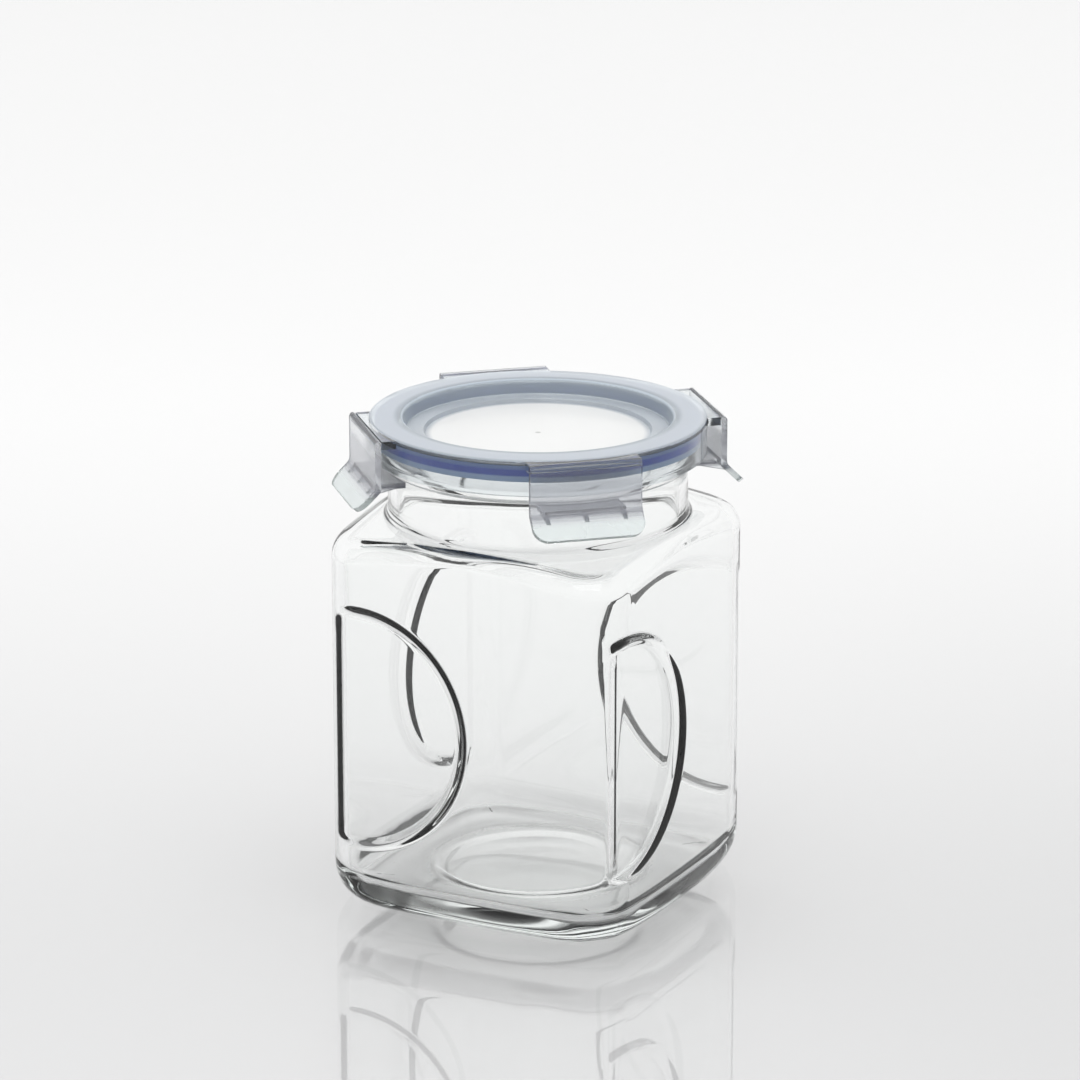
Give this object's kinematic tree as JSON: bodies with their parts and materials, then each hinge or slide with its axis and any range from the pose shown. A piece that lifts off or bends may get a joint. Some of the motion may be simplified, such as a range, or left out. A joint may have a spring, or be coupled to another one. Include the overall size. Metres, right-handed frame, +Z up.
{
  "type": "food storage canister",
  "caption": "Square clear-glass storage canister with round finger grips and a round snap lid: sealing ring, hinged locking wings.",
  "frame": {"origin": "middle of the foot, where the jar stands", "axes": "+Z up through the lid; the faces look along X and Y; the wings stand over the corners"},
  "size_m": [0.1196, 0.1196, 0.162],
  "materials": {
    "glass": "clear, polished",
    "lid_plastic": "translucent, satin",
    "wing_plastic": "translucent, satin",
    "seal": "matte"
  },
  "bodies": {
    "canister": {"glass_jar": "glass", "lid": "lid_plastic", "sealing_ring": "seal"},
    "wing_1": {"wing_1": "wing_plastic"},
    "wing_2": {"wing_2": "wing_plastic"},
    "wing_3": {"wing_3": "wing_plastic"},
    "wing_4": {"wing_4": "wing_plastic"}
  },
  "joints": [
    {"name": "wing_1_hinge", "type": "hinge", "parent": "canister", "child": "wing_1", "pos_m": [0.03924, -0.04298, 0.161], "axis": [-0.7385, -0.6743, 0], "range_deg": [0, 120]},
    {"name": "wing_2_hinge", "type": "hinge", "parent": "canister", "child": "wing_2", "pos_m": [0.04298, 0.03924, 0.161], "axis": [0.6743, -0.7385, 0], "range_deg": [0, 120]},
    {"name": "wing_3_hinge", "type": "hinge", "parent": "canister", "child": "wing_3", "pos_m": [-0.03924, 0.04298, 0.161], "axis": [0.7385, 0.6743, 0], "range_deg": [0, 120]},
    {"name": "wing_4_hinge", "type": "hinge", "parent": "canister", "child": "wing_4", "pos_m": [-0.04298, -0.03924, 0.161], "axis": [-0.6743, 0.7385, 0], "range_deg": [0, 120]}
  ]
}
